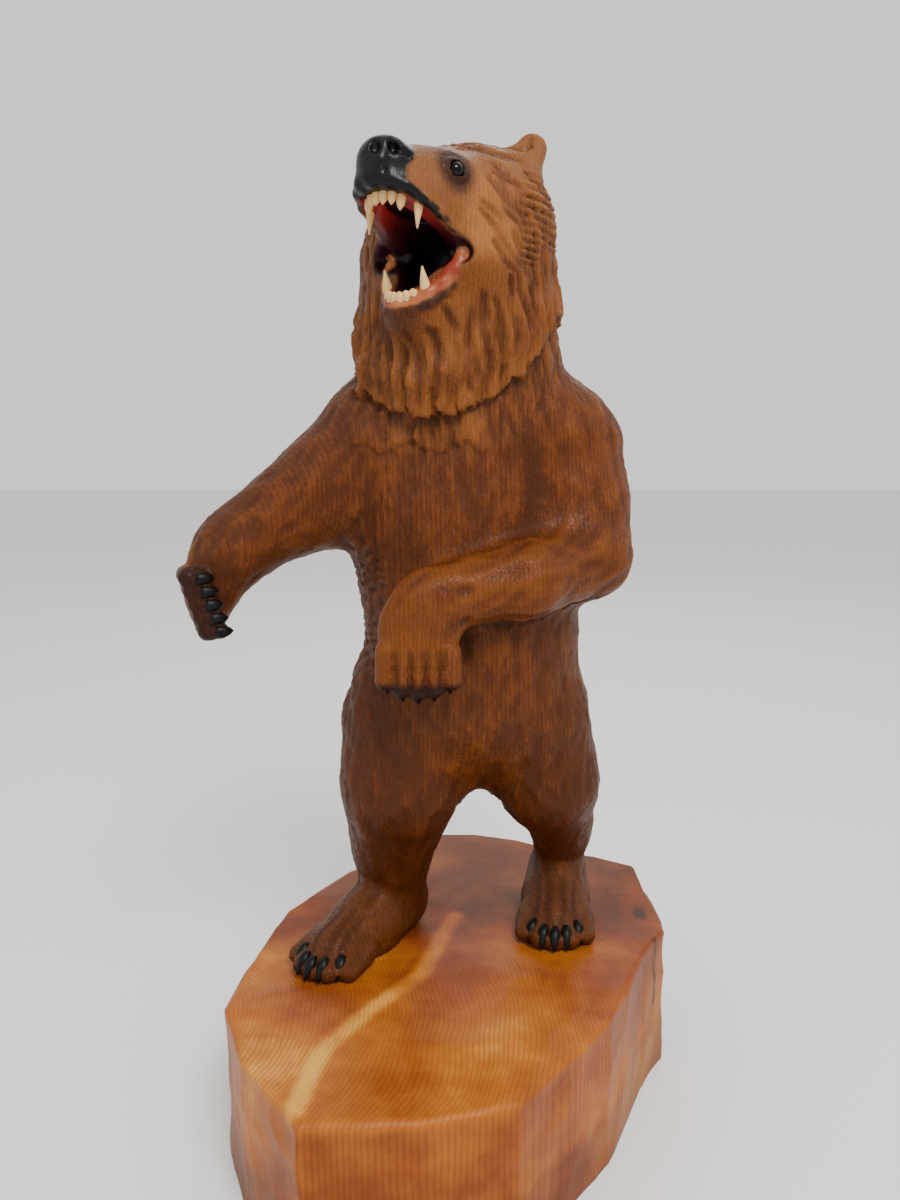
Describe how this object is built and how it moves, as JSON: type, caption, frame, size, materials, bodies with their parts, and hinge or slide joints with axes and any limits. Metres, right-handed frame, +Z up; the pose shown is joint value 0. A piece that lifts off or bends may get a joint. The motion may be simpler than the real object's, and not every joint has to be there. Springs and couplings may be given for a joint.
{
  "type": "chainsaw carved bear",
  "caption": "Standing, roaring brown bear carved with its rough plinth from one upright log, with one arm stretched out and one folded, and glass eyes.",
  "frame": {"origin": "middle of the plinth's flat underside", "axes": "+Z up through the figure, the bear's chest faces -Y, its left side is +X"},
  "size_m": [0.3738, 0.428, 0.7164],
  "materials": {
    "stained_wood": "oiled brown stain over gouge marks, matt",
    "eye_glass": "polished black glass"
  },
  "bodies": {
    "root": {"carved_bear": "stained_wood", "right_eye": "eye_glass", "left_eye": "eye_glass"}
  },
  "joints": []
}
